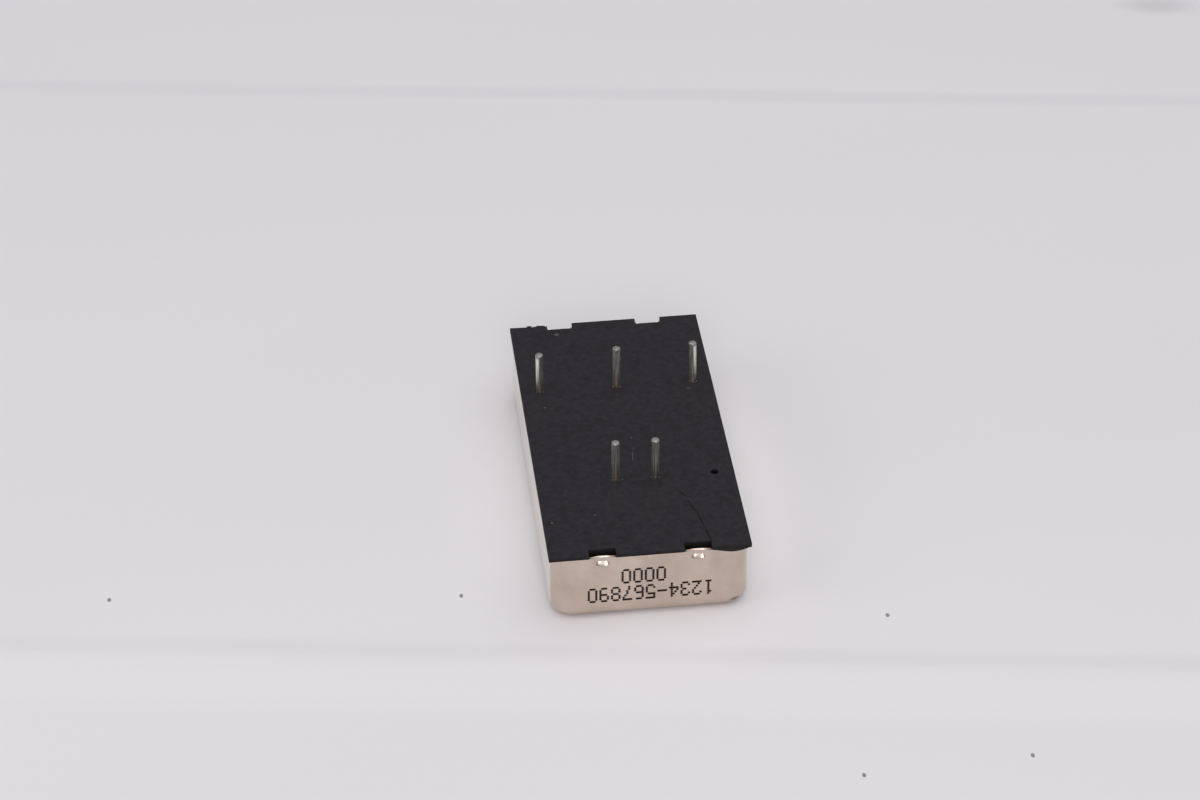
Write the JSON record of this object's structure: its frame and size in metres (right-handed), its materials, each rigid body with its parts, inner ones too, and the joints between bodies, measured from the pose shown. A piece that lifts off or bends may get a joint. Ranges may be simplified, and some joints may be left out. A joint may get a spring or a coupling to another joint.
{
  "type": "dc converter module",
  "caption": "Potted, board-mounted isolated power converter: a nickel-plated drawn case closed by a black moulded plate, with round solder pins in two rows.",
  "frame": {"origin": "centre of the metal case's flat roof, on which the module lies", "axes": "+Z out along the pins, +Y along the long side towards the row of three output pins, +X across, towards the empty control-pin hole"},
  "size_m": [0.0254, 0.0508, 0.0161],
  "materials": {
    "nickel_plate": "satin",
    "black_moulding": "satin",
    "tinned_pin": "satin",
    "amber_film": "gloss",
    "black_potting": "satin",
    "green_laminate": "gloss",
    "solder": "satin",
    "ferrite": "matte",
    "bobbin_moulding": "matte",
    "enamelled_copper": "gloss",
    "yellow_tape": "gloss",
    "tinned_metal": "satin",
    "chip_moulding": "matte",
    "opto_moulding": "matte",
    "capacitor_ceramic": "satin",
    "resistor_glaze": "gloss"
  },
  "bodies": {
    "root": {"metal_case": "nickel_plate", "base_plate": "black_moulding", "input_pin_positive": "tinned_pin", "input_pin_negative": "tinned_pin", "output_pin_positive": "tinned_pin", "output_pin_common": "tinned_pin", "output_pin_negative": "tinned_pin", "pin_solder_joints": "solder", "insulating_liner": "amber_film", "potting_compound": "black_potting", "circuit_board": "green_laminate", "transformer_core_upper": "ferrite", "transformer_core_lower": "ferrite", "transformer_bobbin": "bobbin_moulding", "transformer_terminals": "tinned_metal", "transformer_primary_winding": "enamelled_copper", "transformer_secondary_winding": "enamelled_copper", "transformer_tape": "yellow_tape", "input_choke_core": "ferrite", "input_choke_winding": "enamelled_copper", "input_choke_terminals": "tinned_metal", "output_choke_cores": "ferrite", "output_choke_windings": "enamelled_copper", "output_choke_terminals": "tinned_metal", "switch_transistor_body": "chip_moulding", "switch_transistor_leads": "tinned_metal", "controller_body": "chip_moulding", "controller_leads": "tinned_metal", "optocoupler_body": "opto_moulding", "optocoupler_leads": "tinned_metal", "rectifier_bodies": "chip_moulding", "rectifier_leads": "tinned_metal", "clamp_diode_body": "chip_moulding", "clamp_diode_leads": "tinned_metal", "voltage_reference_body": "chip_moulding", "voltage_reference_leads": "tinned_metal", "input_capacitor_bodies": "capacitor_ceramic", "input_capacitor_ends": "tinned_metal", "output_capacitor_bodies": "capacitor_ceramic", "output_capacitor_ends": "tinned_metal", "safety_capacitor_body": "capacitor_ceramic", "safety_capacitor_ends": "tinned_metal", "sense_resistor_body": "resistor_glaze", "sense_resistor_ends": "tinned_metal", "chip_resistor_bodies": "resistor_glaze", "chip_resistor_ends": "tinned_metal", "chip_capacitor_bodies": "capacitor_ceramic", "chip_capacitor_ends": "tinned_metal"}
  },
  "joints": []
}
